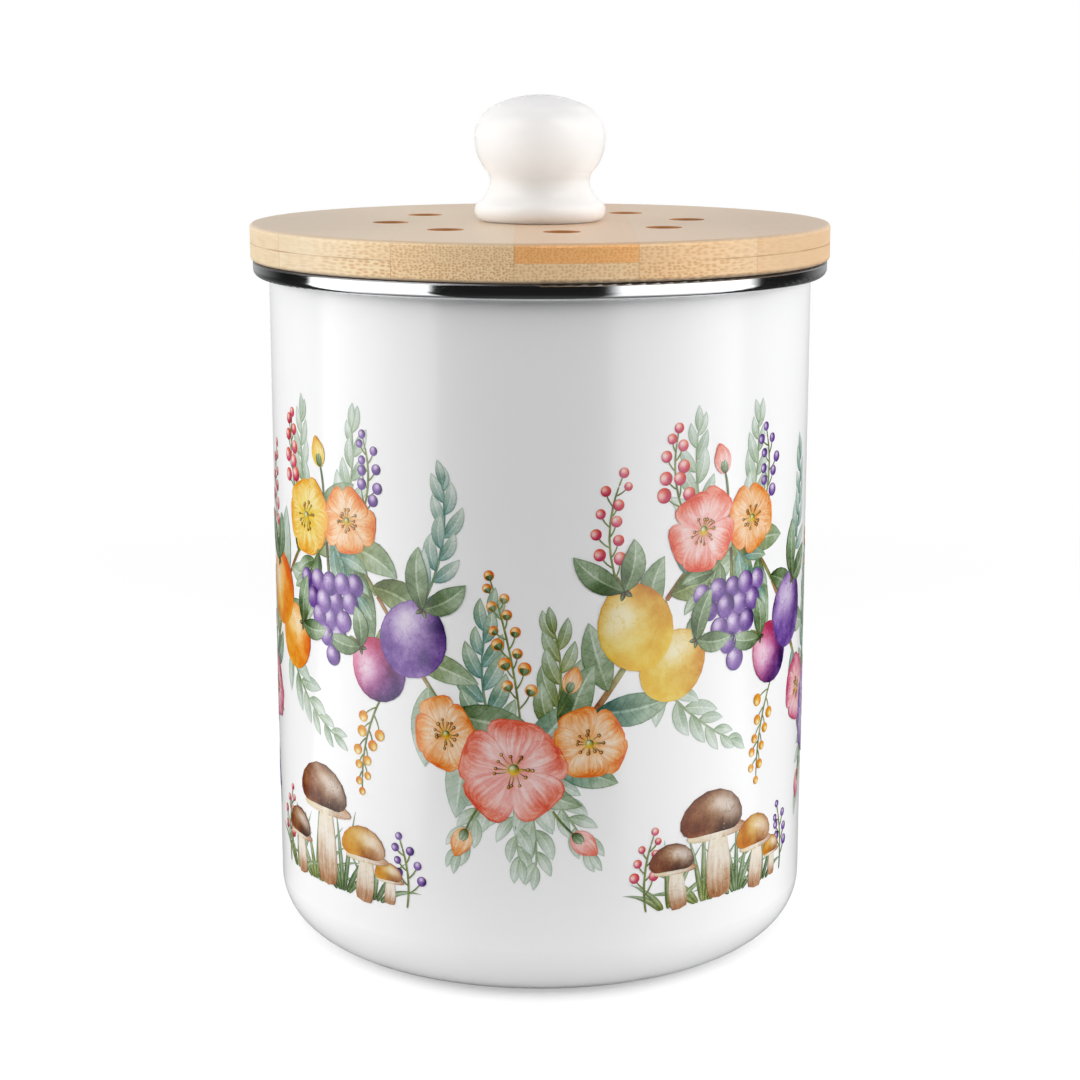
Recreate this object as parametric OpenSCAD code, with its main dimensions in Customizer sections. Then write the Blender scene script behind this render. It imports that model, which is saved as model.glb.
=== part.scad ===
// Kitchen caddy for food scraps. A deep-drawn enamel can carries a rolled steel rim, and a two-ply
// bamboo lid rests on the rim. The lid has vent holes, a turned knob, and a plug with a seal and a
// carbon filter. Millimetres, +Z up. The origin is the centre of the ring that the can stands on.

/* [Can] */
// Outside diameter of the can
can_d = 134; // [120:1:160]
// Height from the table to the top of the rim
can_h = 170.2; // [130:0.1:220]
// Thickness of the enamelled steel
can_wall = 1; // [0.6:0.1:1.4]
// Outside radius where the wall turns into the bottom
corner_r = 13.5; // [8:0.5:20]
// Width of the flat ring that the can stands on
foot_ring_w = 6; // [3:0.5:10]
// Height of the raised panel inside the foot ring
panel_rise = 1.6; // [0.8:0.1:3]
// Inside radius of the bend from the wall into the lip
lip_bend_r = 0.8; // [0.5:0.1:1.2]
// Outside radius of the lip's turned edge
lip_edge_r = 1.5; // [1.4:0.1:1.8]
// Height of the lip's turned edge
lip_edge_h = 2.2; // [1.8:0.1:4]

/* [Rim] */
// How far the rim stands out from the can wall
rim_out = 3.9; // [3.6:0.1:6]
// Height of the rim outside the can
rim_h = 4; // [3.8:0.1:8]
// Thickness of the rim's steel sheet
rim_sheet = 0.4; // [0.3:0.05:0.5]
// Outside radius of the roll at the rim's lower edge
rim_roll_r = 1.9; // [1.4:0.1:2]
// Outside radius of the rim's upper edge
rim_edge_r = 0.7; // [0.6:0.1:1.6]
// Depth of the rim's leg inside the mouth
rim_leg = 4; // [3:0.5:8]

/* [Lid] */
// Diameter of the lid
lid_d = 143; // [136:0.5:170]
// Thickness of one bamboo ply
ply_t = 4.4; // [3:0.1:7]
// Radius on the lid's upper and lower edges
lid_edge_r = 0.9; // [0.4:0.1:2]
// Number of vent holes
vent_count = 8; // [4:1:12]
// Diameter of a vent hole
vent_d = 9; // [5:0.5:12]
// Diameter of the circle that the vent holes lie on
vent_circle_d = 74; // [60:1:84]
// Angle of the first vent hole, anticlockwise from +X seen from above
vent_turn = 7.9; // [0:0.1:45]

/* [Knob] */
// Height of the knob
knob_h = 30.8; // [28:0.1:40]
// Widest diameter of the knob's ball
ball_d = 32.4; // [29:0.1:40]
// Radius of the ball's flattened top
dome_r = 26; // [24:1:50]
// Radius of the ball's shoulder
shoulder_r = 8.8; // [7:0.1:11]
// Diameter of the neck
neck_d = 24.8; // [22:0.1:26]
// Height of the neck's narrowest place
neck_z = 10.2; // [8:0.1:11]
// Radius of the hollow between the neck and the ball
neck_round_r = 3; // [1:0.1:5]
// Diameter of the foot
knob_foot_d = 32.4; // [30:0.1:38]
// Radius of the foot's rounded edge
knob_foot_r = 2.7; // [1.5:0.1:3]

/* [Plug and seal] */
// Play between the plug and the rim's inner leg, on the radius
plug_gap = 3.6; // [2.5:0.1:6]
// Radius on the plug's lower outer edge
plug_edge_r = 0.8; // [0.3:0.1:1]
// Depth of the seal's groove
groove_depth = 2; // [1:0.1:3]
// Height of the seal
seal_h = 3.2; // [2.6:0.1:4]
// Distance from the lid's underside to the seal
seal_drop = 3.2; // [1.5:0.1:3.5]
// Thickness of a lip of the seal
seal_lip_t = 0.9; // [0.6:0.1:1.1]
// How far the seal's core stands out of the plug
seal_core_out = 0.9; // [0.5:0.1:1.5]
// Play between the seal's lips and the rim's leg
seal_gap = 0.35; // [0.3:0.05:0.6]

/* [Filter] */
// Diameter of the filter pad
pad_d = 97.6; // [90:0.1:104]
// Thickness of the filter pad
pad_t = 4; // [3:0.5:8]
// Radius on the filter pad's edges
pad_edge_r = 0.8; // [0.3:0.1:1.5]
// Play round the filter pad
pad_gap = 0.3; // [0.3:0.05:1]
// Thickness of the filter cover
cover_t = 1.5; // [1:0.1:2.5]
// How far the cover's flange reaches past its wall, under the plug
flange_w = 5.3; // [3:0.1:7]
// Distance from the lid's underside to the top of the cover's wall
cover_headroom = 2; // [1:0.5:4]
// Play between the cover's wall and the plug
cover_gap = 0.3; // [0.3:0.05:0.5]
// Number of long slots in the cover
slot_count = 8; // [6:1:10]
// Width of a slot
slot_w = 5; // [3:0.5:6]
// Distance from the middle to the inner end of a long slot
slot_from = 17; // [14:1:24]
// Distance from the middle to the inner end of a short slot
short_slot_from = 31; // [26:1:36]
// Distance from the middle to the outer end of every slot
slot_to = 44; // [40:1:45]
// Diameter of the hole in the middle of the cover
cover_hole_d = 14; // [8:1:20]

/* [Fasteners] */
// Diameter of the screw
screw_d = 5; // [4:0.5:6]
// Diameter of the screw's head
head_d = 9.5; // [8:0.5:12]
// Height of the screw's head
head_h = 2.8; // [2:0.1:4]
// Radius on the edge of the screw's head
head_edge_r = 1.7; // [1:0.1:2]
// How far the screw reaches into the knob
screw_reach = 9; // [6:0.5:10]
// Width of the screw's cross recess
recess_w = 1.1; // [0.8:0.1:1.4]
// Length of the screw's cross recess
recess_l = 5; // [3:0.5:6]
// Depth of the screw's cross recess
recess_depth = 1.4; // [0.8:0.1:1.8]
// Diameter of the washer
washer_d = 13; // [11:0.5:16]
// Thickness of the washer
washer_t = 1; // [0.6:0.1:1.6]
// Wall of the threaded insert
insert_wall = 1.2; // [0.8:0.1:2]
// Length of the threaded insert
insert_l = 11; // [8:0.5:13]
// Play between the screw and the holes in the lid and washer, on the radius
screw_gap = 0.3; // [0.2:0.05:0.6]
// Play between the screw's head and the filter pad
head_gap = 0.3; // [0.3:0.05:1]

/* [Hidden] */
$fn = 96;

// Seam left between pieces that are pressed, glued or cast together
seam = 0.05;
// Overshoot of a cut past the face that it opens
past = 1;
// How far the parts of an outline overlap inside it
lap = 1;

// Can: its outside and inside radius, and the edge of the raised panel
can_r = can_d / 2;
mouth_r = can_r - can_wall;
panel_r = can_r - corner_r - foot_ring_w;

// Lip: its top, its outside radius, and the lowest place inside the rim
lip_top = can_h - rim_sheet - seam;
lip_r = can_r + rim_out - rim_sheet - seam;
lip_low = can_h - rim_h + rim_sheet + seam;
lip_edge_low = max(lip_top - lip_edge_h, lip_low + seam);
roll_r = min(rim_roll_r - rim_sheet - seam, lip_top - lip_low - lip_edge_r);

// Rim: its upper edge at the size of the lip, and the outside and inside of the leg in the mouth
edge_r = rim_edge_r - rim_sheet - seam;
leg_r = mouth_r - seam;
leg_bore_r = leg_r - rim_sheet;

// Lid
lid_r = lid_d / 2;
lid_base = can_h;
ply_joint = lid_base + ply_t;
lid_top = lid_base + 2 * ply_t;

// Filter: the cover's wall fits round the pad, and the plug fits round the wall
cover_bore_r = pad_d / 2 + pad_gap;
cover_r = cover_bore_r + cover_t;
flange_r = cover_r + flange_w;

// Plug: high enough for the washer, the screw's head and the pad
plug_r = leg_bore_r - plug_gap;
plug_bore_r = cover_r + cover_gap;
plug_h = washer_t + head_h + head_gap + pad_t;
plug_low = lid_base - plug_h;

// Seal
groove_r = plug_r - groove_depth;
seal_top = lid_base - seal_drop;
seal_low = seal_top - seal_h;
seal_core_r = plug_r + seal_core_out;
seal_r = leg_bore_r - seal_gap;

// Fasteners
head_top = lid_base - washer_t;
screw_hole_r = screw_d / 2 + screw_gap;
insert_bore_r = screw_d / 2 + seam;
insert_r = insert_bore_r + insert_wall;
insert_low = lid_top + seam;

// Knob: the ball's equator, where the dome and the shoulder share a tangent
ball_r = ball_d / 2;
neck_r = neck_d / 2;
knob_foot_in = knob_foot_d / 2 - knob_foot_r;
shoulder_in = ball_r - shoulder_r;
dome_low = knob_h - dome_r;
equator = dome_low + sqrt(pow(dome_r - shoulder_r, 2) - pow(shoulder_in, 2));
dome_edge = shoulder_in * dome_r / (dome_r - shoulder_r);

// Knob: radius of the underside that runs smoothly into the hollow above the neck, and where they meet
ball_step = ball_r - neck_r;
belly_rise = equator - neck_z;
belly_r = (ball_step * ball_step + belly_rise * belly_rise) / (2 * ball_step) - neck_round_r;
belly_in = ball_r - belly_r;
belly_reach = belly_r / (belly_r + neck_round_r);
belly_meet_x = belly_in + (neck_r + neck_round_r - belly_in) * belly_reach;
belly_meet_z = equator - belly_rise * belly_reach;

// Knob: radius of the hollow that runs smoothly from the neck into the rounded foot
foot_step = knob_foot_in + knob_foot_r - neck_r;
hollow_rise = neck_z - knob_foot_r;
hollow_r = (foot_step * foot_step + hollow_rise * hollow_rise) / (2 * foot_step) - knob_foot_r;

// A rectangle from its lower left to its upper right corner
module block(x0, z0, x1, z1) {
    translate([x0, z0]) square([x1 - x0, z1 - z0]);
}

// What a round of radius r takes off a square corner at x, z. The material lies towards dx, dz.
module spandrel(x, z, r, dx, dz) {
    translate([x, z]) difference() {
        scale([dx, dz]) translate([-past, -past]) square(r + past);
        translate([dx * r, dz * r]) circle(r);
    }
}

// Half outline of the can up to the given height, grown by g
module can_outline(g, top) {
    difference() {
        block(0, -g, can_r + g, top);
        spandrel(can_r + g, -g, corner_r + g, -1, 1);
    }
}

// Half outline of the bottom's pressed panel, grown by g
module panel_outline(g) {
    block(0, -past, panel_r - panel_rise, panel_rise + g);
    translate([panel_r - panel_rise, 0]) circle(panel_rise + g);
}

// Outline of the space that the rim closes round the can's lip, grown by g
module lip_space(g) {
    difference() {
        block(mouth_r - g, lip_low - g, lip_r + g, lip_top + g);
        spandrel(mouth_r - g, lip_top + g, lip_bend_r + can_wall + g, 1, -1);
        spandrel(lip_r + g, lip_top + g, edge_r + g, -1, -1);
        spandrel(lip_r + g, lip_low - g, roll_r + g, -1, 1);
    }
}

// Outline of the lip in that space, down to its turned edge
module lip_outline() {
    difference() {
        lip_space(0);
        spandrel(lip_r, lip_top, lip_edge_r, -1, -1);
        block(0, 0, lip_r + past, lip_edge_low);
    }
}

// Hollow of the can's lip, which turns out from the wall and then down
module lip_hollow() {
    hollow_top = lip_top - can_wall;
    hollow_r = lip_r - can_wall;
    difference() {
        block(can_r, lip_low - past, hollow_r, hollow_top);
        spandrel(can_r, hollow_top, lip_bend_r, 1, -1);
        spandrel(hollow_r, hollow_top, lip_edge_r - can_wall, -1, -1);
    }
}

module can_section() {
    difference() {
        union() {
            can_outline(0, lip_edge_low);
            lip_outline();
        }
        difference() {
            can_outline(-can_wall, can_h);
            panel_outline(can_wall);
        }
        panel_outline(0);
        lip_hollow();
    }
}

module rim_section() {
    difference() {
        lip_space(seam + rim_sheet);
        lip_space(seam);
        block(0, lip_low - past - rim_sheet, leg_r, lip_top - lip_bend_r - can_wall);
        block(0, lip_low - past - rim_sheet, can_r + seam, lip_low + seam);
    }
    block(leg_bore_r, can_h - rim_leg, leg_r, lip_top - lip_bend_r - can_wall);
}

// Half outline of a bamboo ply. The round is on its upper or its lower edge.
module ply_section(low, upper_edge) {
    difference() {
        block(0, low, lid_r, low + ply_t);
        if (upper_edge) spandrel(lid_r, low + ply_t, lid_edge_r, -1, -1);
        else spandrel(lid_r, low, lid_edge_r, -1, 1);
    }
}

// Everything that passes through both plies: the ring of vents and the screw's hole
module lid_holes() {
    deep = 2 * ply_t + 2 * past;
    translate([0, 0, lid_base - past]) {
        cylinder(r = screw_hole_r, h = deep);
        for (i = [0 : vent_count - 1])
            rotate(vent_turn + i * 360 / vent_count)
                translate([vent_circle_d / 2, 0, 0]) cylinder(d = vent_d, h = deep);
    }
}

module plug_section() {
    difference() {
        block(plug_bore_r, plug_low, plug_r, lid_base);
        spandrel(plug_r, plug_low, plug_edge_r, -1, 1);
        block(groove_r, seal_low - seam, plug_r + past, seal_top + seam);
    }
}

// A lip of the seal with a round tip
module seal_lip(low) {
    tip_r = seal_lip_t / 2;
    block(plug_r, low, seal_r - tip_r, low + seal_lip_t);
    translate([seal_r - tip_r, low + tip_r]) circle(tip_r);
}

module seal_section() {
    block(groove_r + seam, seal_low, seal_core_r, seal_top);
    seal_lip(seal_low);
    seal_lip(seal_top - seal_lip_t);
}

// The knob's ball: a flat dome, a tight shoulder down to the equator, and a rounder underside
module ball_section() {
    intersection() {
        translate([0, dome_low]) circle(dome_r);
        block(0, equator - lap, dome_edge, knob_h);
    }
    intersection() {
        translate([shoulder_in, equator]) circle(shoulder_r);
        block(0, equator - lap, ball_r, knob_h);
    }
    intersection() {
        translate([belly_in, equator]) circle(belly_r);
        block(0, neck_z, ball_r, equator);
    }
}

// The knob's neck and foot: one hollow runs up into the ball, another down into the foot's rounded edge
module neck_section() {
    hollow_x = neck_r + hollow_r;
    reach = knob_foot_r / (hollow_r + knob_foot_r);
    meet_x = knob_foot_in + (hollow_x - knob_foot_in) * reach;
    meet_z = knob_foot_r + hollow_rise * reach;
    block(0, 0, knob_foot_in, meet_z);
    block(0, neck_z - lap, neck_r, neck_z + lap);
    translate([knob_foot_in, knob_foot_r]) intersection() {
        circle(knob_foot_r);
        block(-knob_foot_in, -knob_foot_r, knob_foot_r, meet_z - knob_foot_r);
    }
    difference() {
        block(0, knob_foot_r, meet_x, neck_z);
        translate([hollow_x, neck_z]) circle(hollow_r);
    }
    difference() {
        block(0, neck_z, belly_meet_x, belly_meet_z);
        translate([neck_r + neck_round_r, neck_z]) circle(neck_round_r);
    }
}

// A slot with round ends that runs outwards along X
module slot(from, to) {
    end_r = slot_w / 2;
    translate([from + end_r, -end_r]) square([to - from - slot_w, slot_w]);
    translate([from + end_r, 0]) circle(end_r);
    translate([to - end_r, 0]) circle(end_r);
}

module enamel_body() {
    color("white") rotate_extrude() can_section();
}

module rim_band() {
    color("silver") rotate_extrude() rim_section();
}

module lid_upper_ply() {
    color("burlywood") difference() {
        rotate_extrude() ply_section(ply_joint, true);
        lid_holes();
    }
}

module lid_lower_ply() {
    color("tan") difference() {
        rotate_extrude() ply_section(lid_base, false);
        lid_holes();
    }
}

module lid_plug() {
    color("peru") rotate_extrude() plug_section();
}

module lid_seal() {
    color("gainsboro") rotate_extrude() seal_section();
}

module knob() {
    bore_r = insert_r + seam;
    color("snow") translate([0, 0, lid_top]) difference() {
        rotate_extrude() {
            ball_section();
            neck_section();
        }
        translate([0, 0, -past]) cylinder(r = bore_r, h = insert_l + 2 * seam + past);
    }
}

module knob_insert() {
    color("goldenrod") translate([0, 0, insert_low]) difference() {
        cylinder(r = insert_r, h = insert_l);
        translate([0, 0, -past]) cylinder(r = insert_bore_r, h = insert_l + 2 * past);
    }
}

// Pan-head screw, its head down, with a cross recess
module knob_screw() {
    color("lightgrey") difference() {
        union() {
            translate([0, 0, head_top - past])
                cylinder(d = screw_d, h = lid_top + screw_reach - head_top + past);
            rotate_extrude() difference() {
                block(0, head_top - head_h, head_d / 2, head_top);
                spandrel(head_d / 2, head_top - head_h, head_edge_r, -1, 1);
            }
        }
        for (turn = [0, 90])
            rotate(turn) translate([0, 0, head_top - head_h])
                cube([recess_l, recess_w, 2 * recess_depth], center = true);
    }
}

module knob_washer() {
    color("darkgrey") translate([0, 0, head_top]) difference() {
        cylinder(d = washer_d, h = washer_t);
        translate([0, 0, -past]) cylinder(r = screw_hole_r, h = washer_t + 2 * past);
    }
}

// Shallow dish under the plug. Its floor reaches out as a flange, and is open in a star of slots.
module filter_cover() {
    half_step = 180 / slot_count;
    floor_low = plug_low - cover_t;
    color("whitesmoke") difference() {
        rotate_extrude() {
            difference() {
                block(0, floor_low, flange_r, plug_low);
                spandrel(flange_r, floor_low, cover_t / 2, -1, 1);
            }
            block(cover_bore_r, floor_low, cover_r, lid_base - cover_headroom);
        }
        translate([0, 0, floor_low - past]) {
            cylinder(d = cover_hole_d, h = cover_t + 2 * past);
            linear_extrude(cover_t + 2 * past)
                for (i = [0 : slot_count - 1]) {
                    rotate(2 * i * half_step) slot(slot_from, slot_to);
                    rotate((2 * i + 1) * half_step) slot(short_slot_from, slot_to);
                }
        }
    }
}

module filter_pad() {
    color("dimgray") rotate_extrude() difference() {
        block(0, plug_low, pad_d / 2, plug_low + pad_t);
        spandrel(pad_d / 2, plug_low, pad_edge_r, -1, 1);
        spandrel(pad_d / 2, plug_low + pad_t, pad_edge_r, -1, -1);
    }
}

enamel_body();
rim_band();
lid_upper_ply();
lid_lower_ply();
lid_plug();
lid_seal();
knob();
knob_insert();
knob_screw();
knob_washer();
filter_cover();
filter_pad();
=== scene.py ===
"""Dresses the kitchen caddy for food scraps: its finishes, the print on its can, and a studio round it.

Everything is in metres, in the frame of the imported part: +Z up, the can standing on z = 0, and the
photograph's side towards -Y.
"""

import math

import bpy
import numpy as np
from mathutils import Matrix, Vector


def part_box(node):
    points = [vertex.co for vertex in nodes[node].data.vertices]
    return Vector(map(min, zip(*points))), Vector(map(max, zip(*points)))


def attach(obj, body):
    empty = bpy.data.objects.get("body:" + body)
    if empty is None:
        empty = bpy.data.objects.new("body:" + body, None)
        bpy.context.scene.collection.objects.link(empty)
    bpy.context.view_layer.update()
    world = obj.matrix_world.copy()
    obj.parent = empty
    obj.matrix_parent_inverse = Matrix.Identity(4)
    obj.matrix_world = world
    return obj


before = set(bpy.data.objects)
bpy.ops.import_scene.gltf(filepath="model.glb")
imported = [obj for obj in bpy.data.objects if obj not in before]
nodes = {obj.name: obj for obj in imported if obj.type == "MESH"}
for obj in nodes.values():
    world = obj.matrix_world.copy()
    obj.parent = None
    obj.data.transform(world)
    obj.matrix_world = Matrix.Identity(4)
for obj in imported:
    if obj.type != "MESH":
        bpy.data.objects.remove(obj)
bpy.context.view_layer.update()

MM = 0.001

# What the CAD nodes say about the caddy's main sizes
RIM_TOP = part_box("rim_band")[1].z
LID_BASE, PLY_JOINT = (corner.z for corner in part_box("lid_lower_ply"))
LID_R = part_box("lid_upper_ply")[1].x
LID_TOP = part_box("lid_upper_ply")[1].z


# ---------------------------------------------------------------- shader helpers

# A socket knows the tree that it is in, so most of these find the tree there.

def add(tree, kind, inputs=None, **settings):
    """A node of that kind. Its inputs are set to values or linked from sockets."""
    made = tree.nodes.new(kind)
    for name, value in settings.items():
        setattr(made, name, value)
    for name, value in (inputs or {}).items():
        if isinstance(value, bpy.types.NodeSocket):
            tree.links.new(value, made.inputs[name])
        else:
            made.inputs[name].default_value = value
    return made


def calc(operation, *values):
    """The result of a Math node on one to three values, at least one of them a socket."""
    tree = next(value.id_data for value in values if isinstance(value, bpy.types.NodeSocket))
    return add(tree, "ShaderNodeMath", dict(enumerate(values)), operation=operation).outputs[0]


def plus(value, *others):
    """The sum of two or more values or sockets."""
    for other in others:
        value = calc("ADD", value, other)
    return value


def minus(value, other):
    """One value or socket less another."""
    return calc("SUBTRACT", value, other)


def times(value, *others):
    """The product of two or more values or sockets."""
    for other in others:
        value = calc("MULTIPLY", value, other)
    return value


def unsigned(value):
    """A value without its sign."""
    return calc("ABSOLUTE", value)


def hypot(x, y):
    """The length of the flat vector x, y."""
    return calc("SQRT", plus(times(x, x), times(y, y)))


def xyz_of(vector):
    """The x, y and z of a vector."""
    return add(vector.id_data, "ShaderNodeSeparateXYZ", {0: vector}).outputs


def joined(x, y, z):
    """The vector x, y, z, of which x is a socket."""
    return add(x.id_data, "ShaderNodeCombineXYZ", {0: x, 1: y, 2: z}).outputs[0]


def span(value, low, high, out_low=0.0, out_high=1.0, smooth=True):
    """value carried from low..high to out_low..out_high, clamped, with soft ends unless smooth is off."""
    kind = "SMOOTHSTEP" if smooth else "LINEAR"
    named = {"Value": value, "From Min": low, "From Max": high, "To Min": out_low, "To Max": out_high}
    return add(value.id_data, "ShaderNodeMapRange", named, interpolation_type=kind).outputs[0]


def mix(share, first, second, how="MIX"):
    """Two colours mixed by share, 0 to 1."""
    first, second = ((*colour, 1.0) if isinstance(colour, tuple) else colour for colour in (first, second))
    ends = {0: share, 6: first, 7: second}
    return add(share.id_data, "ShaderNodeMix", ends, data_type="RGBA", blend_type=how).outputs[2]


def noise(where, scale, detail=2.0, rough=0.5):
    """Noise between 0 and 1 at these coordinates."""
    named = {"Vector": where, "Scale": scale, "Detail": detail, "Roughness": rough}
    return add(where.id_data, "ShaderNodeTexNoise", named).outputs["Fac"]


def stretched(where, x, y, z):
    """Coordinates multiplied by x, y and z."""
    return add(where.id_data, "ShaderNodeMapping", {"Vector": where, "Scale": (x, y, z)}).outputs[0]


def new_material(name, **principled):
    """A material with one Principled shader, and its tree. Its sockets are named with _ for a space."""
    made = bpy.data.materials.new(name)
    made.use_nodes = True
    shader = made.node_tree.nodes["Principled BSDF"]
    for socket, value in principled.items():
        shader.inputs[socket.replace("_", " ")].default_value = value
    return made, made.node_tree, shader


def drive(shader, height, raised, **sockets):
    """Links the shader's sockets, and makes its surface look raised by height, 0 to 1, over raised metres."""
    bump = add(shader.id_data, "ShaderNodeBump", {"Height": height, "Distance": raised})
    for socket, value in {**sockets, "Normal": bump.outputs[0]}.items():
        shader.id_data.links.new(value, shader.inputs[socket.replace("_", " ")])


def object_place(tree):
    """The point's place on the piece, in metres."""
    return add(tree, "ShaderNodeTexCoord").outputs["Object"]


def new_group(name, inputs, outputs):
    """An empty shader group, its inputs in order and its outputs by name. Both are given with their kinds."""
    group = bpy.data.node_groups.new(name, "ShaderNodeTree")
    for label, kind in inputs.items():
        group.interface.new_socket(label, in_out="INPUT", socket_type="NodeSocket" + kind)
    for label, kind in outputs.items():
        group.interface.new_socket(label, in_out="OUTPUT", socket_type="NodeSocket" + kind)
    start = group.nodes.new("NodeGroupInput")
    end = group.nodes.new("NodeGroupOutput")
    return group, start.outputs[:len(inputs)], end.inputs


def use_group(tree, group, **values):
    """A group placed in a tree, its inputs set by name. Returns its outputs."""
    return add(tree, "ShaderNodeGroup", values, node_tree=group).outputs


def in_scene(name, data):
    """A new object with this data."""
    made = bpy.data.objects.new(name, data)
    bpy.context.scene.collection.objects.link(made)
    return made


# ---------------------------------------------------------------- camera and studio

# The camera that the photograph's outlines fit: 78 mm lens, 11.7 degrees down
LENS_MM = 78.4
SENSOR_MM = 36.0
CAMERA_AWAY = 0.5867
CAMERA_UP = 0.2196
CAMERA_DOWN = 0.204

# Lamps: angle from the camera's side in degrees, + to the right, then distance, height, the height that
# they aim at, size, and radiance. The side lamps stand wide of the front, so its middle is greyer.
SIDE_SIZE = (0.5, 0.5)
LAMPS = {
    "lamp_left": (-82.0, 0.75, 0.26, 0.10, SIDE_SIZE, 4.5),
    "lamp_right": (80.0, 0.75, 0.26, 0.10, SIDE_SIZE, 4.5),
    "lamp_left_behind": (-112.0, 0.75, 0.28, 0.10, SIDE_SIZE, 4.5),
    "lamp_right_behind": (112.0, 0.75, 0.28, 0.10, SIDE_SIZE, 4.5),
    "lamp_above": (0.0, 0.60, 0.80, 0.16, (0.6, 0.9), 3.15),
}

# What shiny pieces show: two tall panels at the caddy's sides, a paler wall behind it, a ceiling, and two
# soft bulbs. Angles are in degrees, round from the camera's side, + to the right, or up from level.
LEFT_PANEL = (-100.0, -42.0)
RIGHT_PANEL = (29.0, 90.0)
PANEL_TOP = 58.0
PANEL_FOOT = (-52.0, -26.0)
PANEL_GLOW = 1.7
BACK_ASIDE = (118.0, 165.0)
BACK_RISE = (-14.0, 6.0)
BACK_GLOW = 0.75
TOP_RISE = (62.0, 78.0)
TOP_GLOW = 0.8
BULB_ASIDE, BULB_RISE = 54.0, 42.0
BULB_EDGE = (4.0, 14.0)
BULB_GLOW = 5.0
DARK_GLOW = 0.012


def make_camera():
    """The photograph's camera."""
    data = bpy.data.cameras.new("camera")
    data.lens = LENS_MM
    data.sensor_width = SENSOR_MM
    camera = in_scene("camera", data)
    camera.location = (0, -CAMERA_AWAY, CAMERA_UP)
    camera.rotation_euler = (math.pi / 2 - CAMERA_DOWN, 0, 0)
    bpy.context.scene.camera = camera


def softbox(name, angle, away, high, aim_z, size, glow):
    """A rectangular lamp at an angle from the camera's side. Its face shines with the given radiance."""
    turn = math.radians(angle)
    place = Vector((away * math.sin(turn), -away * math.cos(turn), high))
    data = bpy.data.lights.new(name, "AREA")
    data.shape = "RECTANGLE"
    data.size, data.size_y = size
    data.energy = glow * math.pi * size[0] * size[1]
    lamp = in_scene(name, data)
    lamp.location = place
    lamp.rotation_euler = (Vector((0, 0, aim_z)) - place).to_track_quat("-Z", "Y").to_euler()
    lamp.visible_glossy = False


def room_group():
    """What shiny pieces show of the studio, by direction. It is dark where the camera is."""
    tree, (direction,), ends = new_group("studio_panels", {"Direction": "Vector"}, {"Color": "Color"})
    x, y, z = xyz_of(direction)
    angle = times(calc("ARCTAN2", x, times(y, -1.0)), 180 / math.pi)
    rise = times(calc("ARCTAN2", z, hypot(x, y)), 180 / math.pi)
    aside = unsigned(angle)

    def panel(low, high, soft):
        return times(span(angle, low - soft, low + soft),
                     span(angle, high - soft, high + soft, 1.0, 0.0))

    def near(value, middle):
        return span(unsigned(minus(value, middle)), *BULB_EDGE, 1.0, 0.0)

    panels = plus(panel(*LEFT_PANEL, 2.0), panel(*RIGHT_PANEL, 5.0))
    panels = times(panels, span(rise, PANEL_TOP - 4, PANEL_TOP + 4, 1.0, 0.0))
    panels = times(panels, span(rise, *PANEL_FOOT, 0.08, 1.0))
    behind = times(span(aside, *BACK_ASIDE), span(rise, *BACK_RISE, 0.22, 1.0))
    bulbs = times(near(aside, BULB_ASIDE), near(rise, BULB_RISE))
    above = span(rise, *TOP_RISE, 0.0, TOP_GLOW)
    glow = plus(times(panels, PANEL_GLOW), times(behind, BACK_GLOW))
    glow = plus(calc("MAXIMUM", glow, above), plus(times(bulbs, BULB_GLOW), DARK_GLOW))
    tree.links.new(glow, ends["Color"])
    return tree


# Light from all round, for what isn't shiny: brighter behind the caddy than on the camera's side, and
# weaker overhead
ROOM_FRONT = 0.03
ROOM_BACK = 0.62
ROOM_OVERHEAD = 0.15


def make_world(room):
    """White where the camera looks, the studio's panels in reflections, and a soft fill otherwise."""
    world = bpy.data.worlds.new("studio")
    bpy.context.scene.world = world
    world.use_nodes = True
    tree = world.node_tree
    tree.nodes.clear()
    ray = add(tree, "ShaderNodeLightPath").outputs
    toward = add(tree, "ShaderNodeTexCoord").outputs["Generated"]
    _, y, z = xyz_of(toward)
    fill = span(y, -0.7, 0.7, ROOM_FRONT, ROOM_BACK, smooth=False)
    fill = times(fill, span(z, 0.2, 0.8, 1.0, ROOM_OVERHEAD))
    shiny = calc("MAXIMUM", ray["Is Glossy Ray"], ray["Is Transmission Ray"])
    panels = use_group(tree, room, Direction=toward)["Color"]
    colour = mix(shiny, fill, panels)
    colour = mix(ray["Is Camera Ray"], colour, (1.0, 1.0, 1.0))
    background = add(tree, "ShaderNodeBackground", {"Color": colour, "Strength": 1.0})
    out = add(tree, "ShaderNodeOutputWorld")
    tree.links.new(background.outputs[0], out.inputs["Surface"])


FLOOR_R = 3.0
FLOOR_SIDES = 96
# The floor is lifted this much for the camera, so that only the caddy's shadow shows on it, and turns
# into plain white between these distances from the axis
FLOOR_LIFT = 0.42
FLOOR_FADE = (0.22, 0.55)
# Only the paper close to the caddy throws light back at it, and less so beside the can than in front
FLOOR_NEAR = (0.12, 0.36)
FLOOR_BESIDE = (0.03, 0.10)
# Share of a reflection of the floor that shows the panels instead, as if seen from this far below
FLOOR_MIRROR = 0.96
FLOOR_LOWERED = 0.15


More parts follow.
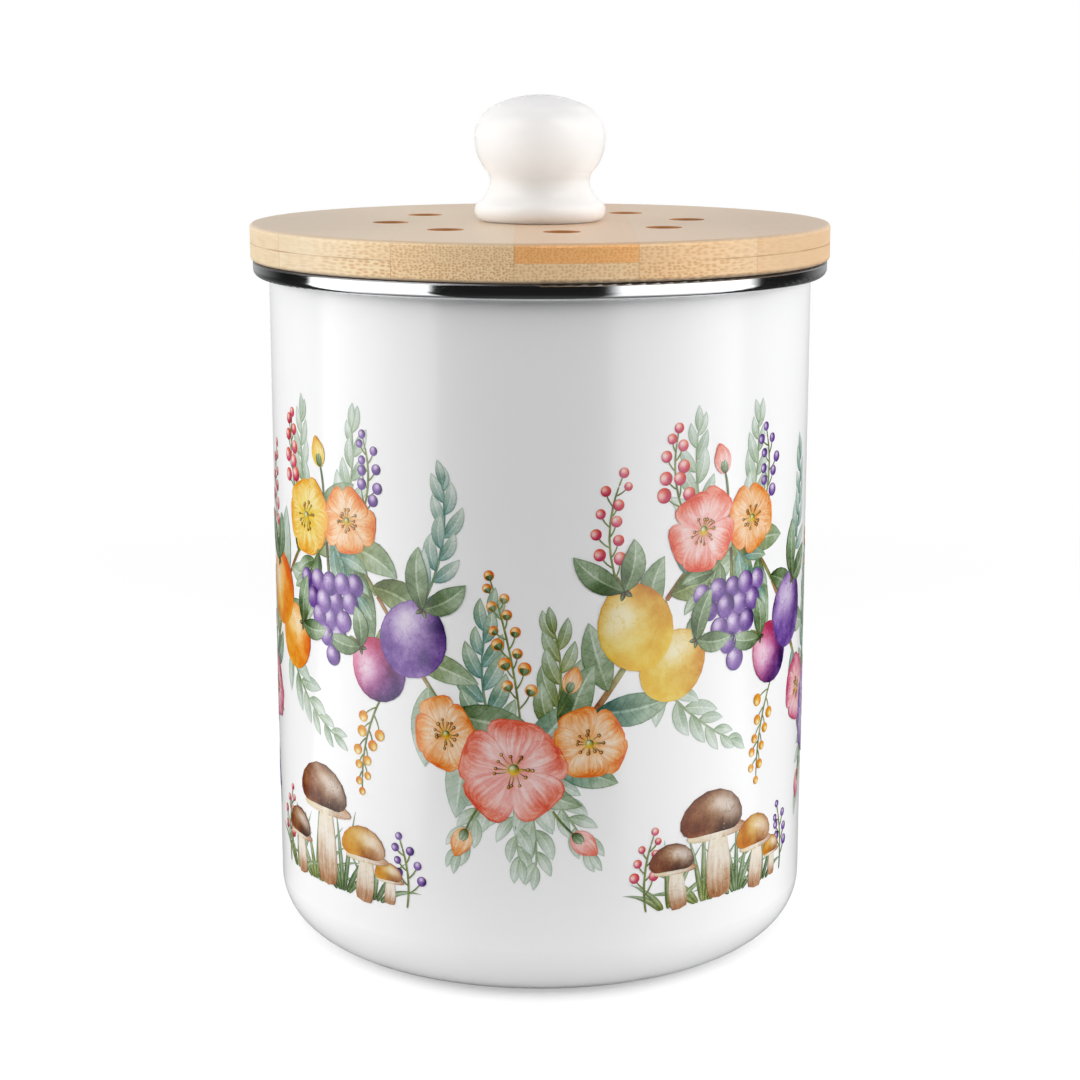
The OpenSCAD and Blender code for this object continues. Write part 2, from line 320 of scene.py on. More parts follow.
def make_floor(room):
    """A pale round floor that turns into the white of the background away from the caddy."""
    around = np.linspace(0, 2 * np.pi, FLOOR_SIDES, endpoint=False)
    rim = np.c_[np.cos(around), np.sin(around), np.zeros(FLOOR_SIDES)] * FLOOR_R
    mesh = bpy.data.meshes.new("floor")
    mesh.from_pydata(rim.tolist(), [], [list(range(FLOOR_SIDES))])
    floor = in_scene("floor", mesh)
    material = bpy.data.materials.new("floor_paper")
    material.use_nodes = True
    tree = material.node_tree
    tree.nodes.clear()
    ray = add(tree, "ShaderNodeLightPath").outputs
    where = object_place(tree)
    away = add(tree, "ShaderNodeVectorMath", {0: where}, operation="LENGTH").outputs["Value"]
    fade = span(away, *FLOOR_FADE)
    beside = span(unsigned(xyz_of(where)[0]), *FLOOR_BESIDE)
    bounce = mix(beside, (0.8, 0.8, 0.8), (0.4, 0.4, 0.4))
    bounce = mix(span(away, *FLOOR_NEAR), bounce, (0.08, 0.08, 0.08))
    bounce = mix(ray["Is Camera Ray"], bounce, (0.6, 0.6, 0.6))
    paper = add(tree, "ShaderNodeBsdfDiffuse", {"Color": bounce}).outputs[0]
    lift = add(tree, "ShaderNodeEmission", {"Strength": times(ray["Is Camera Ray"], FLOOR_LIFT)})
    lifted = add(tree, "ShaderNodeAddShader", {0: paper, 1: lift.outputs[0]}).outputs[0]
    white = add(tree, "ShaderNodeEmission", {"Strength": 1.0}).outputs[0]
    to_white = times(ray["Is Camera Ray"], fade)
    seen = add(tree, "ShaderNodeMixShader", {0: to_white, 1: lifted, 2: white}).outputs[0]
    lowered = add(tree, "ShaderNodeVectorMath", {0: where, 1: (0.0, 0.0, -FLOOR_LOWERED)}, operation="ADD")
    panels = use_group(tree, room, Direction=lowered.outputs[0])["Color"]
    mirrored = add(tree, "ShaderNodeEmission", {"Color": panels})
    shiny = times(ray["Is Glossy Ray"], FLOOR_MIRROR)
    seen = add(tree, "ShaderNodeMixShader", {0: shiny, 1: seen, 2: mirrored.outputs[0]}).outputs[0]
    out = add(tree, "ShaderNodeOutputMaterial")
    tree.links.new(seen, out.inputs["Surface"])
    mesh.materials.append(material)


# ---------------------------------------------------------------- finishes

ENAMEL_WHITE = (0.90, 0.90, 0.905)
ENAMEL_ROUGHNESS = 0.16
ENAMEL_IOR = 1.6


def watercolour_group():
    """Watercolour paint under the glaze: paint absorbs as tint^thickness.

    The thickness is patchy, grainy, has the tide lines of drying paint, and is greatest at a stroke's edge.
    """
    tree, (where, tint, wash, edge, pool), ends = new_group(
        "watercolour",
        {"Where": "Vector", "Tint": "Color", "Wash": "Float", "Edge": "Float", "Pool": "Float"},
        {"Color": "Color"})
    patch = span(noise(where, 190.0, 3.0, 0.6), 0.28, 0.72, 0.62, 1.2)
    grain = span(noise(where, 2600.0, 3.0, 0.6), 0.3, 0.7, 0.9, 1.1)
    tide = unsigned(minus(noise(where, 260.0, 2.0), 0.56))
    tide = span(tide, 0.0, 0.022, 0.16, 0.0)
    pooled = times(span(edge, 0.0, 0.42, 1.0, 0.0), pool)
    thick = plus(times(wash, patch, grain), plus(tide, pooled))
    channel = add(tree, "ShaderNodeSeparateColor", {0: tint}).outputs
    seen = {i: times(calc("POWER", channel[i], thick), ENAMEL_WHITE[i]) for i in range(3)}
    tree.links.new(add(tree, "ShaderNodeCombineColor", seen).outputs[0], ends["Color"])
    return tree


def ink(name, group, pool, thickness):
    """Glazed ink. thickness is a function of a stroke's t along, v across, and seed."""
    material, tree, shader = new_material(name, Roughness=ENAMEL_ROUGHNESS, IOR=ENAMEL_IOR)
    tint, stroke_at, wash_at = (
        add(tree, "ShaderNodeAttribute", attribute_name=label).outputs for label in ("tint", "stroke", "wash"))
    t, v, seed = xyz_of(stroke_at["Vector"])
    wash, edge, _ = xyz_of(wash_at["Vector"])
    local = times(wash, thickness(t, v, seed))
    painted = use_group(tree, group, Where=object_place(tree), Tint=tint["Color"], Wash=local, Edge=edge,
                        Pool=pool)
    tree.links.new(painted["Color"], shader.inputs["Base Color"])
    return material


def leaf_thickness(t, v, seed):
    """A pale midrib, one half darker than the other, and side veins that slant towards the tip."""
    out = unsigned(v)
    rib = span(out, 0.03, 0.13, 0.45, 0.0)
    rib = times(rib, span(t, 0.75, 1.0, 1.0, 0.0))
    half = span(v, -0.15, 0.15, -0.13, 0.15)
    slant = minus(times(t, 8.0), times(out, 1.1))
    vein = unsigned(minus(calc("FRACT", slant), 0.5))
    vein = span(vein, 0.0, 0.14, 0.2, 0.0)
    fade = span(t, 0.0, 1.0, 1.12, 0.72, smooth=False)
    total = plus(plus(fade, half), minus(vein, rib))
    return calc("MAXIMUM", total, 0.1)


def petal_thickness(t, v, seed):
    """Fine streaks from the base to a paler middle, and more paint again at the rim."""
    lanes = joined(times(v, 7.0), times(t, 1.3), times(seed, 60.0))
    streak = span(noise(lanes, 1.0, 4.0, 0.65), 0.3, 0.7, -0.28, 0.34)
    base = span(t, 0.0, 0.45, 0.75, 0.0)
    rim = span(t, 0.55, 1.0, 0.0, 0.3)
    total = plus(plus(base, rim), plus(streak, 0.55))
    return calc("MAXIMUM", total, 0.12)


def fruit_thickness(t, v, seed):
    """A ball: thin paint at the highlight, upper left, thickest at the far side, and a paler lower rim."""
    y = minus(times(t, 2.0), 1.0)
    half = calc("SQRT", calc("MAXIMUM", minus(1.0, times(y, y)), 0.0))
    x = times(v, half)
    off = hypot(minus(x, 0.32), minus(y, 0.34))
    ball = span(off, 0.08, 1.25, 0.22, 1.5)
    down = minus(times(y, -0.7), times(x, 0.7))
    return calc("MAXIMUM", plus(ball, span(down, 0.72, 1.0, 0.0, -0.35)), 0.1)


def stem_thickness(t, v, seed):
    """An even line, a little darker on one side."""
    return span(v, -1.0, 1.0, 0.8, 1.25, smooth=False)


def make_inks():
    """One ink for each kind of stroke, with how much paint pools at its edge."""
    wash = watercolour_group()
    kinds = {"leaf": (0.38, leaf_thickness), "petal": (0.35, petal_thickness), "fruit": (0.3, fruit_thickness),
             "stem": (0.15, stem_thickness)}
    return {kind: ink("ink_" + kind, wash, *paint_look) for kind, paint_look in kinds.items()}


def enamel():
    """Gloss white vitreous enamel: a very slight wave, as fired glass has on drawn steel."""
    material, tree, shader = new_material(
        "enamel_white", Base_Color=(*ENAMEL_WHITE, 1), Roughness=ENAMEL_ROUGHNESS, IOR=ENAMEL_IOR)
    drive(shader, noise(object_place(tree), 55.0, 2.0), 0.06 * MM)
    return material


def polished_steel():
    """Mirror-polished stainless steel with faint lines left round the hoop by the buff, rougher under the lid
    and painted darker there as the gap's shade.
    """
    material, tree, shader = new_material("rim_polished_steel", Metallic=1.0)
    where = object_place(tree)
    lines = noise(stretched(where, 30, 30, 9000), 1.0, 3.0)
    # Painted shade: the top of the hoop, under the lid, is darker and rougher, for the shadow in the gap there
    gap_painted_shade = span(xyz_of(where)[2], RIM_TOP - 0.75 * MM, RIM_TOP - 0.45 * MM)
    rough = plus(span(lines, 0.3, 0.8, 0.05, 0.12), times(gap_painted_shade, 0.3))
    colour = mix(gap_painted_shade, (0.80, 0.81, 0.82), (0.30, 0.30, 0.31))
    drive(shader, lines, 0.002 * MM, Base_Color=colour, Roughness=rough)
    return material


# The width of the board's staves, and the place of its one clear seam, to the left of the middle
STAVE_W = 27.5 * MM
STAVE_FROM = -5.7 * MM


def bamboo_group():
    """Laminated bamboo whose fibres run along Y, as colour and height.

    Staves lie side by side along X. Each has its own tone and its own spacing of the vascular bundles.
    The bundles are cells of a Voronoi pattern in XZ, so they are dots where the fibres end, and they draw
    out into streaks towards the sides. Orange tints the middle stave. Quiet fades the bundles,
    as sanding does on the board's face, and paints that face darker as painted shade. Deep
    darkens the wood in the holes, for the scorch of drilling and as painted shade.
    """
    tree, (where, ply, orange, sanding_and_shade, scorch_and_shade), ends = new_group(
        "bamboo_board",
        {"Where": "Vector", "Ply": "Float", "Orange": "Float", "Quiet": "Float", "Deep": "Float"},
        {"Color": "Color", "Height": "Float"})
    x, y, z = xyz_of(where)
    place = calc("DIVIDE", minus(x, STAVE_FROM), STAVE_W)
    stave = calc("FLOOR", place)
    inside = minus(place, stave)
    mark = joined(stave, ply, 3.0)
    rolled = add(tree, "ShaderNodeTexWhiteNoise", {"Vector": mark}).outputs
    tone = rolled["Value"]
    spacing, boldness, seam_chance = add(tree, "ShaderNodeSeparateColor", {0: rolled["Color"]}).outputs
    aside = unsigned(x)

    # Bundles: places in XZ that drift slowly along Y, and draw out along X away from the middle
    shifted = add(tree, "ShaderNodeVectorMath", {0: where, 1: mark}, operation="ADD").outputs[0]
    drift = noise(stretched(shifted, 60, 25, 60), 1.0, 1.0)
    sway = times(minus(drift, 0.5), 1.2 * MM)
    drawn = times(calc("TANH", calc("DIVIDE", x, 46 * MM)), 46 * MM)
    pitch = span(spacing, 0.0, 1.0, 1050.0, 1700.0, smooth=False)
    dot_z = times(z, times(pitch, 1.25))
    dot_at = joined(times(plus(drawn, sway), pitch), dot_z, 0.0)
    cells = add(tree, "ShaderNodeTexVoronoi", {"Vector": dot_at, "Scale": 1.0, "Randomness": 0.7},
                feature="F1", voronoi_dimensions="2D").outputs
    dot = span(cells["Distance"], 0.16, 0.56, 1.0, 0.0)
    cell_tone = add(tree, "ShaderNodeSeparateColor", {0: cells["Color"]}).outputs[0]
    dot = times(dot, span(cell_tone, 0.0, 0.6, 0.5, 1.0))
    bold = times(minus(1.0, sanding_and_shade), span(boldness, 0.0, 1.0, 0.4, 0.8, smooth=False))
    dot = times(dot, times(span(aside, 36 * MM, 58 * MM, 1.0, 0.25), bold))
    streak = noise(stretched(shifted, 700, 18, 900), 1.0, 4.0, 0.6)
    cloud = noise(stretched(shifted, 90, 30, 90), 1.0, 3.0)

    # Tones, as linear colours: cream on the left, tan on the right, and one orange stave in the middle
    middle = times(minus(1.0, calc("MINIMUM", unsigned(stave), 1.0)), orange)
    rightward = span(stave, -1.0, 2.0, smooth=False)
    pale = mix(tone, (0.98, 0.78, 0.50), (0.95, 0.72, 0.44))
    pale = mix(rightward, pale, (0.89, 0.55, 0.28))
    warm = mix(span(cloud, 0.3, 0.7, 0.0, 0.4), pale, (0.93, 0.65, 0.37))
    warm = mix(middle, warm, (0.97, 0.52, 0.20))
    lined = mix(span(streak, 0.45, 0.75, 0.0, 0.3), warm, (0.78, 0.48, 0.22))
    dotted = mix(dot, lined, mix(middle, (0.62, 0.28, 0.085), (0.76, 0.27, 0.07)))
    # Painted shade: the wood turns darker and cooler towards the board's left and right ends
    dotted = mix(span(aside, 30 * MM, 60 * MM), dotted, (0.77, 0.82, 0.88), how="MULTIPLY")
    # Painted shade: the board's top and bottom faces are painted darker and greyer than its edges
    face_painted_shade = mix(times(sanding_and_shade, 0.75), dotted, (0.54, 0.40, 0.28))

    # Seams between staves, and the knuckle that some staves have
    from_seam = times(calc("MINIMUM", inside, minus(1.0, inside)), STAVE_W)
    seam = times(span(from_seam, 0.04 * MM, 0.16 * MM, 1.0, 0.0),
                 minus(1.0, times(sanding_and_shade, 0.6)))
    seam = times(seam, span(seam_chance, 0.0, 1.0, 0.1, 0.5, smooth=False))
    knuckle_y = times(minus(tone, 0.5), 0.17)
    bow = times(calc("SINE", times(inside, math.pi)), 2.2 * MM)
    off = unsigned(minus(minus(y, knuckle_y), bow))
    knuckle = times(span(off, 0.4 * MM, 1.6 * MM, 0.22, 0.0), sanding_and_shade)
    marked = mix(seam, face_painted_shade, (0.40, 0.22, 0.09))
    marked = mix(knuckle, marked, (0.48, 0.28, 0.12))
    # The wood in the holes turns dark brown: partly the scorch of drilling, partly painted shade
    tree.links.new(mix(scorch_and_shade, marked, (0.46, 0.17, 0.035)), ends["Color"])
    height = minus(times(streak, 0.6), times(dot, 0.7))
    tree.links.new(minus(height, seam), ends["Height"])
    return tree


def bamboo(name, ply, group, glue_z=None, orange=0.0, roughness=0.4):
    """Sanded and oiled bamboo. Where glue_z is given, a thin line of glue shows at that height."""
    material, tree, shader = new_material(name, IOR=1.46, Sheen_Weight=0.05, Sheen_Roughness=0.5)
    where = object_place(tree)
    x, y, z = xyz_of(where)
    # The board's top and bottom faces: sanded, and painted darker as shade
    face = calc("MAXIMUM", span(z, LID_TOP - 0.8 * MM, LID_TOP - 0.2 * MM),
                span(z, LID_BASE + 0.2 * MM, LID_BASE + 0.8 * MM, 1.0, 0.0))
    # Below the face and inside the rim, as in the vent holes: scorch and painted shade
    inner = span(hypot(x, y), LID_R - 4 * MM, LID_R - 3 * MM, 1.0, 0.0)
    below = span(z, LID_TOP - 0.12 * MM, LID_TOP - 0.04 * MM, 0.85, 0.0)
    in_hole = times(below, inner)
    board = use_group(tree, group, Where=where, Ply=ply, Orange=orange, Quiet=face, Deep=in_hole)
    colour = board["Color"]
    if glue_z is not None:
        off = unsigned(minus(z, glue_z))
        patchy = span(noise(where, 60.0, 2.0), 0.35, 0.65, 0.3, 0.9)
        patchy = times(patchy, span(unsigned(x), 28 * MM, 50 * MM, 0.1, 1.0))
        line = times(span(off, 0.08 * MM, 0.2 * MM, 1.0, 0.0), patchy)
        colour = mix(line, colour, (0.40, 0.20, 0.08))
    rough = span(board["Height"], -1.0, 0.6, roughness + 0.12, roughness - 0.05)
    drive(shader, board["Height"], 0.03 * MM, Base_Color=colour, Roughness=rough)
    return material


def glaze():
    """White glaze on the turned knob, very softly uneven. The ball lets light deeper in than the foot."""
    material, tree, shader = new_material(
        "knob_white_glaze", Roughness=0.24, IOR=1.42, Subsurface_Weight=1.0, Subsurface_Radius=(1.0, 1.0, 1.0))
    where = object_place(tree)
    height = xyz_of(where)[2]
    ball = span(height, LID_TOP + 9 * MM, LID_TOP + 16 * MM)
    crown_painted_shade = span(height, LID_TOP + 23 * MM, LID_TOP + 31 * MM)
    depth = span(ball, 0.0, 1.0, 9 * MM, 80 * MM, smooth=False)
    # Painted light and shade: the foot is paler than the ball, and the crown a darker, cooler grey
    tint = mix(ball, (0.83, 0.83, 0.825), (0.745, 0.745, 0.75))
    tint = mix(crown_painted_shade, tint, (0.62, 0.62, 0.65))
    tint = mix(span(noise(where, 60.0), 0.3, 0.7, 0.0, 0.03), tint, (0.6, 0.6, 0.6))
    drive(shader, noise(where, 120.0, 2.0), 0.04 * MM, Base_Color=tint, Subsurface_Scale=depth)
    return material


def silicone():
    """Cloudy translucent silicone with the matte bloom of a moulded seal."""
    material, tree, shader = new_material(
        "seal_silicone", Roughness=0.45, Subsurface_Weight=0.5, Subsurface_Scale=3 * MM,
        Subsurface_Radius=(1.0, 1.0, 1.0))
    where = object_place(tree)
    bloom = mix(noise(where, 300.0, 3.0), (0.74, 0.76, 0.75), (0.83, 0.84, 0.83))
    drive(shader, noise(where, 900.0, 2.0), 0.03 * MM, Base_Color=bloom)
    return material


def moulded_plastic():
    """White polypropylene with the fine spark-eroded texture of its mould."""
    material, tree, shader = new_material("cover_polypropylene", Roughness=0.5, IOR=1.49)
    fine = noise(object_place(tree), 1600.0, 3.0)
    colour = mix(fine, (0.80, 0.80, 0.78), (0.86, 0.86, 0.84))
    drive(shader, fine, 0.05 * MM, Base_Color=colour)
    return material


def felt():
    """Needled charcoal felt: matted fibres that cross in all directions, with a few paler ones."""
    material, tree, shader = new_material("pad_carbon_felt", Roughness=0.95, Sheen_Weight=0.3)
    where = object_place(tree)
    matted = noise(where, 900.0, 6.0, 0.7)
    strands = noise(stretched(where, 2500, 300, 900), 1.0, 4.0, 0.6)
    dark = mix(matted, (0.018, 0.018, 0.02), (0.075, 0.075, 0.08))
    pale = mix(span(strands, 0.6, 0.8, 0.0, 0.6), dark, (0.22, 0.22, 0.23))
    drive(shader, matted, 0.4 * MM, Base_Color=pale)
    return material


def turned_metal(name, colour, roughness):
    """Turned or plated metal with fine rings round the caddy's axis."""
    material, tree, shader = new_material(name, Metallic=1.0, Base_Color=(*colour, 1))
    x, y, z = xyz_of(object_place(tree))
    rings = noise(joined(hypot(x, y), z, 0.0), 5000.0, 2.0)
    rough = span(rings, 0.2, 0.8, roughness - 0.06, roughness + 0.1)
    drive(shader, rings, 0.01 * MM, Roughness=rough)
    return material


def dress_nodes():
    """Each CAD node takes one material."""
    board = bamboo_group()
    steel = turned_metal("screw_zinc_steel", (0.62, 0.63, 0.64), 0.3)
    finishes = {
        "enamel_body": enamel(),
        "rim_band": polished_steel(),
        "lid_upper_ply": bamboo("lid_upper_bamboo", 1.0, board, PLY_JOINT, orange=1.0),
        "lid_lower_ply": bamboo("lid_lower_bamboo", 2.0, board, PLY_JOINT),
        "lid_plug": bamboo("plug_bamboo", 3.0, board, roughness=0.55),
        "lid_seal": silicone(),
        "knob": glaze(),
        "knob_insert": turned_metal("insert_brass", (0.78, 0.60, 0.28), 0.28),
        "knob_screw": steel,
        "knob_washer": steel,
        "filter_cover": moulded_plastic(),
        "filter_pad": felt(),
    }
    for node_name, material in finishes.items():
        for slot in nodes[node_name].material_slots:
            slot.material = material


# ---------------------------------------------------------------- the print, drawn flat

# The drawing is flat: s millimetres to the right round the can from its front, and z millimetres up.
# It is a garland of fruit, blossom and leaves that waves round the can, with mushrooms below its crests,
# which stand at the height GROUND. CAN_R_MM is the outside radius of the can's straight wall.
CAN_R_MM = 67.0
REPEATS = 4
PERIOD = 2 * math.pi * CAN_R_MM / REPEATS
WAVE_MIDDLE = 84.0
WAVE_HEIGHT = 25.0
WAVE_FROM = -84.0
GROUND = 21.5

# One brush stroke: its curve's control points, its widest half, the exponents of its form, its paints at
# the start and the end, how thick the paint is, the layer it lies in, the notch in its tip, and a seed
STROKE = np.dtype([("curve", float, (4, 2)), ("width", float), ("form", float, 2), ("first", float, 3),
                   ("last", float, 3), ("wash", float), ("layer", float), ("notch", float), ("seed", float)])
drawing = {"leaf": [], "petal": [], "fruit": [], "stem": []}
rng = np.random.default_rng(31)


def paint(red, green, blue):
    """A paint as a linear colour, from its screen values 0 to 255."""
    screen = np.array([red, green, blue]) / 255
    return np.where(screen <= 0.04045, screen / 12.92, ((screen + 0.055) / 1.055) ** 2.4)


PLUM, VIOLET, LILAC = paint(94, 58, 130), paint(140, 104, 178), paint(188, 166, 212)
ORANGE, AMBER, APRICOT = paint(234, 128, 44), paint(238, 170, 50), paint(248, 192, 132)
LEMON, HONEY = paint(244, 212, 84), paint(214, 150, 40)
CORAL, ROSE, BLUSH = paint(230, 104, 78), paint(206, 82, 120), paint(246, 182, 176)
SAGE, TEAL, OLIVE = paint(140, 164, 128), paint(92, 138, 126), paint(120, 134, 68)
MOSS, MIST = paint(88, 112, 66), paint(176, 196, 178)
UMBER, CHESTNUT, CREAM = paint(84, 56, 40), paint(156, 100, 60), paint(232, 214, 176)


def jitter(size, amount):
    """Random numbers round 0, within plus and minus amount."""
    return rng.uniform(-amount, amount, size)


def by_turns(count):
    """-1, 1, -1, 1 and so on: the side of a stem that each leaf grows on."""
    return np.where(np.arange(count) % 2, 1.0, -1.0)


def heading(angle):
    """Unit vectors at these angles."""
    return np.stack([np.cos(angle), np.sin(angle)], -1)


def spines(start, angle, length, bend):
    """Cubic curves, as four control points each, that leave start at an angle and turn by bend in all.

    The control polygon has three equal legs, and each leg is turned half of bend from the one before.
    """
    start = np.atleast_2d(start).astype(float)
    angle, length, bend = (np.atleast_1d(v).astype(float) for v in (angle, length, bend))
    count = max(len(start), len(angle), len(length), len(bend))
    points = [np.broadcast_to(start, (count, 2))]
    for leg in (0.0, 0.5, 1.0):
        step = heading(np.broadcast_to(angle + leg * bend, (count,)))
        points.append(points[-1] + step * np.broadcast_to(length, (count,))[:, None] / 3)
    return np.stack(points, 1)


def along(curves, t):
    """Points and headings of cubic curves at t: the Bernstein sum of the control points, and its slope."""
    t = np.asarray(t, float)[..., None]
    a, b, c, d = (curves[:, None, i] for i in range(4))
    points = a * (1 - t) ** 3 + 3 * b * t * (1 - t) ** 2 + 3 * c * t ** 2 * (1 - t) + d * t ** 3
    slopes = 3 * ((b - a) * (1 - t) ** 2 + 2 * (c - b) * t * (1 - t) + (d - c) * t ** 2)
    return points, np.arctan2(slopes[..., 1], slopes[..., 0])


def tips(curves):
    """The ends of curves, and their headings there."""
    points, ways = along(curves, [1.0])
    return points[:, 0], ways[:, 0]


def ring(first, count):
    """Angles evenly all round, from this first one."""
    return first + np.arange(count) * 2 * math.pi / count


def stroke(kind, curves, width, form, tints, wash, layer, notch=0.0):
    """Adds brush strokes to the drawing, one for each curve. Single values hold for all of them.

    width is a stroke's widest half. form is its two exponents: at t along the curve the half width goes
    as t^first (1 - t)^second. tints are the paints at its start and its end, and wash is how thick the
    paint is. notch pulls the middle of the tip back by that share of the length.
    """
    rows = np.empty(len(curves), STROKE)
    named = {"curve": curves, "width": width, "form": form, "first": tints[0], "last": tints[1],
             "wash": wash, "layer": layer, "notch": notch, "seed": rng.uniform(0, 1, len(curves))}
    for column, values in named.items():
        rows[column] = values
    drawing[kind].append(rows)


# Forms of strokes: low exponents make an end broad, high ones make it pointed
LEAF_FORM = (0.85, 0.95)
PETAL_FORM = (0.85, 0.32)
BUD_FORM = (0.7, 0.7)
ROUND_FORM = (0.5, 0.5)
OVAL_FORM = (0.55, 0.62)
CAP_FORM = (0.45, 0.45)
STALK_FORM = (0.16, 0.42)
STEM_FORM = (0.05, 0.12)
BRANCH_FORM = (0.02, 0.02)
BLADE_FORM = (0.35, 1.2)
# A leaf's widest half over its length, and how many stamens a blossom has
LEAF_SLIM = 0.19
STAMENS = 13


def discs(centres, radius, tints, wash, layer, lean=math.pi / 2):
    """Round strokes with these centres. lean is the way that they are drawn, which their shading follows."""
    centres = np.atleast_2d(centres)
    radius = np.broadcast_to(np.asarray(radius, float), (len(centres),))
    lean = np.broadcast_to(np.asarray(lean, float), (len(centres),))
    curves = spines(centres - heading(lean) * radius[:, None], lean, 2 * radius, 0.0)
    stroke("fruit", curves, radius, ROUND_FORM, tints, wash, layer)


def twig(start, angle, length, bend, leaves, leaf, tints, wash, layer):
    """A stem with leaves by turns, as long as leaf, that get shorter and closer to it towards its tip."""
    stem = spines(start, angle, length, bend)
    stroke("stem", stem, 0.32, STEM_FORM, (OLIVE, tints[0]), wash, layer)
    place = np.linspace(0.12, 0.96, leaves)
    points, ways = along(stem, place)
    side = by_turns(leaves)
    opened = 0.95 * (1 - 0.45 * place) + jitter(leaves, 0.14)
    long = leaf * (1 - 0.42 * place) * (1 + jitter(leaves, 0.12))
    curves = spines(points[0], ways[0] + side * opened, long, -side * (0.55 + jitter(leaves, 0.3)))
    stroke("leaf", curves, long * LEAF_SLIM, LEAF_FORM, tints, wash * (1 + jitter(leaves, 0.15)),
           layer + 1 + np.arange(leaves) % 3)
    last = spines(*tips(stem), leaf * 0.55, jitter(1, 0.3))
    stroke("leaf", last, leaf * 0.55 * LEAF_SLIM, LEAF_FORM, tints, wash, layer + 4)


def beads(start, angle, length, bend, count, radius, tints, layer, cap=None):
    """A stem whose short side stalks each end in a berry, or in a bud in a cup of the paint cap."""
    stem = spines(start, angle, length, bend)
    stroke("stem", stem, 0.26, STEM_FORM, (OLIVE, OLIVE), 0.9, layer)
    place = np.linspace(0.25, 1.0, count)
    points, ways = along(stem, place)
    side = by_turns(count) * (place < 0.99)
    stalks = spines(points[0], ways[0] + side * (0.9 + jitter(count, 0.25)),
                    3.5 * (1.15 - 0.5 * place) * (1 + jitter(count, 0.2)), -side * 0.5)
    stroke("stem", stalks, 0.18, STEM_FORM, (OLIVE, OLIVE), 0.9, layer)
    ends, ways = tips(stalks)
    size = radius * (1.1 - 0.35 * place) * (1 + jitter(count, 0.12))
    discs(ends + heading(ways) * size[:, None] * 0.8, size, tints, 1.0, layer + 1 + np.arange(count) % 2, ways)
    if cap is not None:
        cups = spines(ends - heading(ways) * 0.3, ways, size * 1.1, 0.0)
        stroke("leaf", cups, size * 0.75, PETAL_FORM, (cap, cap), 1.0, layer + 3)


def blossom(centre, size, turn, tints, tilt, layer):
    """An open blossom: five overlapping notched petals, stamens with dark tips, and a small round heart.

    Everything is drawn round and then squashed across the direction turn to tilt it.
    """
    centre = np.asarray(centre, float)
    across = np.array([-math.sin(turn), math.cos(turn)])

    def tilted(curves):
        off = curves - centre
        return centre + off - (off @ across)[..., None] * across * (1 - tilt)

    angles = ring(turn, 5) + jitter(5, 0.09)
    long = size / 2 * (1 + jitter(5, 0.07))
    curves = tilted(spines(centre + heading(angles) * size * 0.03, angles, long, jitter(5, 0.25)))
    broad = size * 1.42 / 5 * (1 - (1 - tilt) * 0.55 * np.abs(np.cos(angles - turn)))
    stroke("petal", curves, broad, PETAL_FORM, tints, 1.0, layer + np.arange(5), 0.13)
    angles = ring(turn, STAMENS) + jitter(STAMENS, 0.18)
    long = size * (0.17 + jitter(STAMENS, 0.04))
    threads = tilted(spines(centre, angles, long, jitter(STAMENS, 0.5)))
    stroke("stem", threads, 0.14, STEM_FORM, (LEMON, UMBER), 0.9, layer + 5)
    discs(threads[:, 3], 0.42 + jitter(STAMENS, 0.08), (HONEY, UMBER), 1.1, layer + 6)
    discs(centre, size * 0.055, (LEMON, MOSS), 1.1, layer + 7)


def bud(start, angle, size, tints):
    """A closed bud of three petals in a green cup, on its stalk."""
    stalk = spines(start, angle, size * 0.9, 0.25)
    stroke("stem", stalk, 0.3, STEM_FORM, (OLIVE, MOSS), 1.0, 11)
    tip, way = tips(stalk)
    petals = spines(tip, way + [-0.3, 0.3, 0.0], size * np.array([0.9, 0.88, 1.0]), [0.5, -0.5, 0.0])
    stroke("petal", petals, size * 0.27, BUD_FORM, tints, 1.1, 12 + np.arange(3))
    cups = spines(tip, way + [-0.35, 0.35], size * 0.45, [0.5, -0.5])
    stroke("leaf", cups, size * 0.11, LEAF_FORM, (MOSS, SAGE), 1.1, 15)


def fruit(centre, radius, tints, lean, layer, leaf, long):
    """A fruit, long times as tall as wide, with its stalk, the star round it, and two leaves."""
    centre = np.asarray(centre, float)
    way = heading(lean)
    curve = spines(centre - way * radius * long, lean, 2 * radius * long, 0.0)
    stroke("fruit", curve, radius, ROUND_FORM if long == 1.0 else OVAL_FORM, tints, 1.0, layer)
    top = centre + way * radius * (long - 0.22)
    curves = spines(top, ring(lean, 5), radius * 0.26, 0.0)
    stroke("leaf", curves, radius * 0.07, LEAF_FORM, (UMBER, MOSS), 1.2, layer + 1)
    stroke("stem", spines(top, lean, radius * 0.55, 0.5), 0.4, STEM_FORM, (UMBER, OLIVE), 1.1, layer + 2)
    ways = lean + np.array([0.85, -1.0]) + jitter(2, 0.15)
    curves = spines(top, ways, leaf * np.array([1.0, 0.85]), [-0.6, 0.7])
    stroke("leaf", curves, leaf * 0.2, LEAF_FORM, (MOSS, SAGE), 1.05, layer + 3 + np.arange(2))


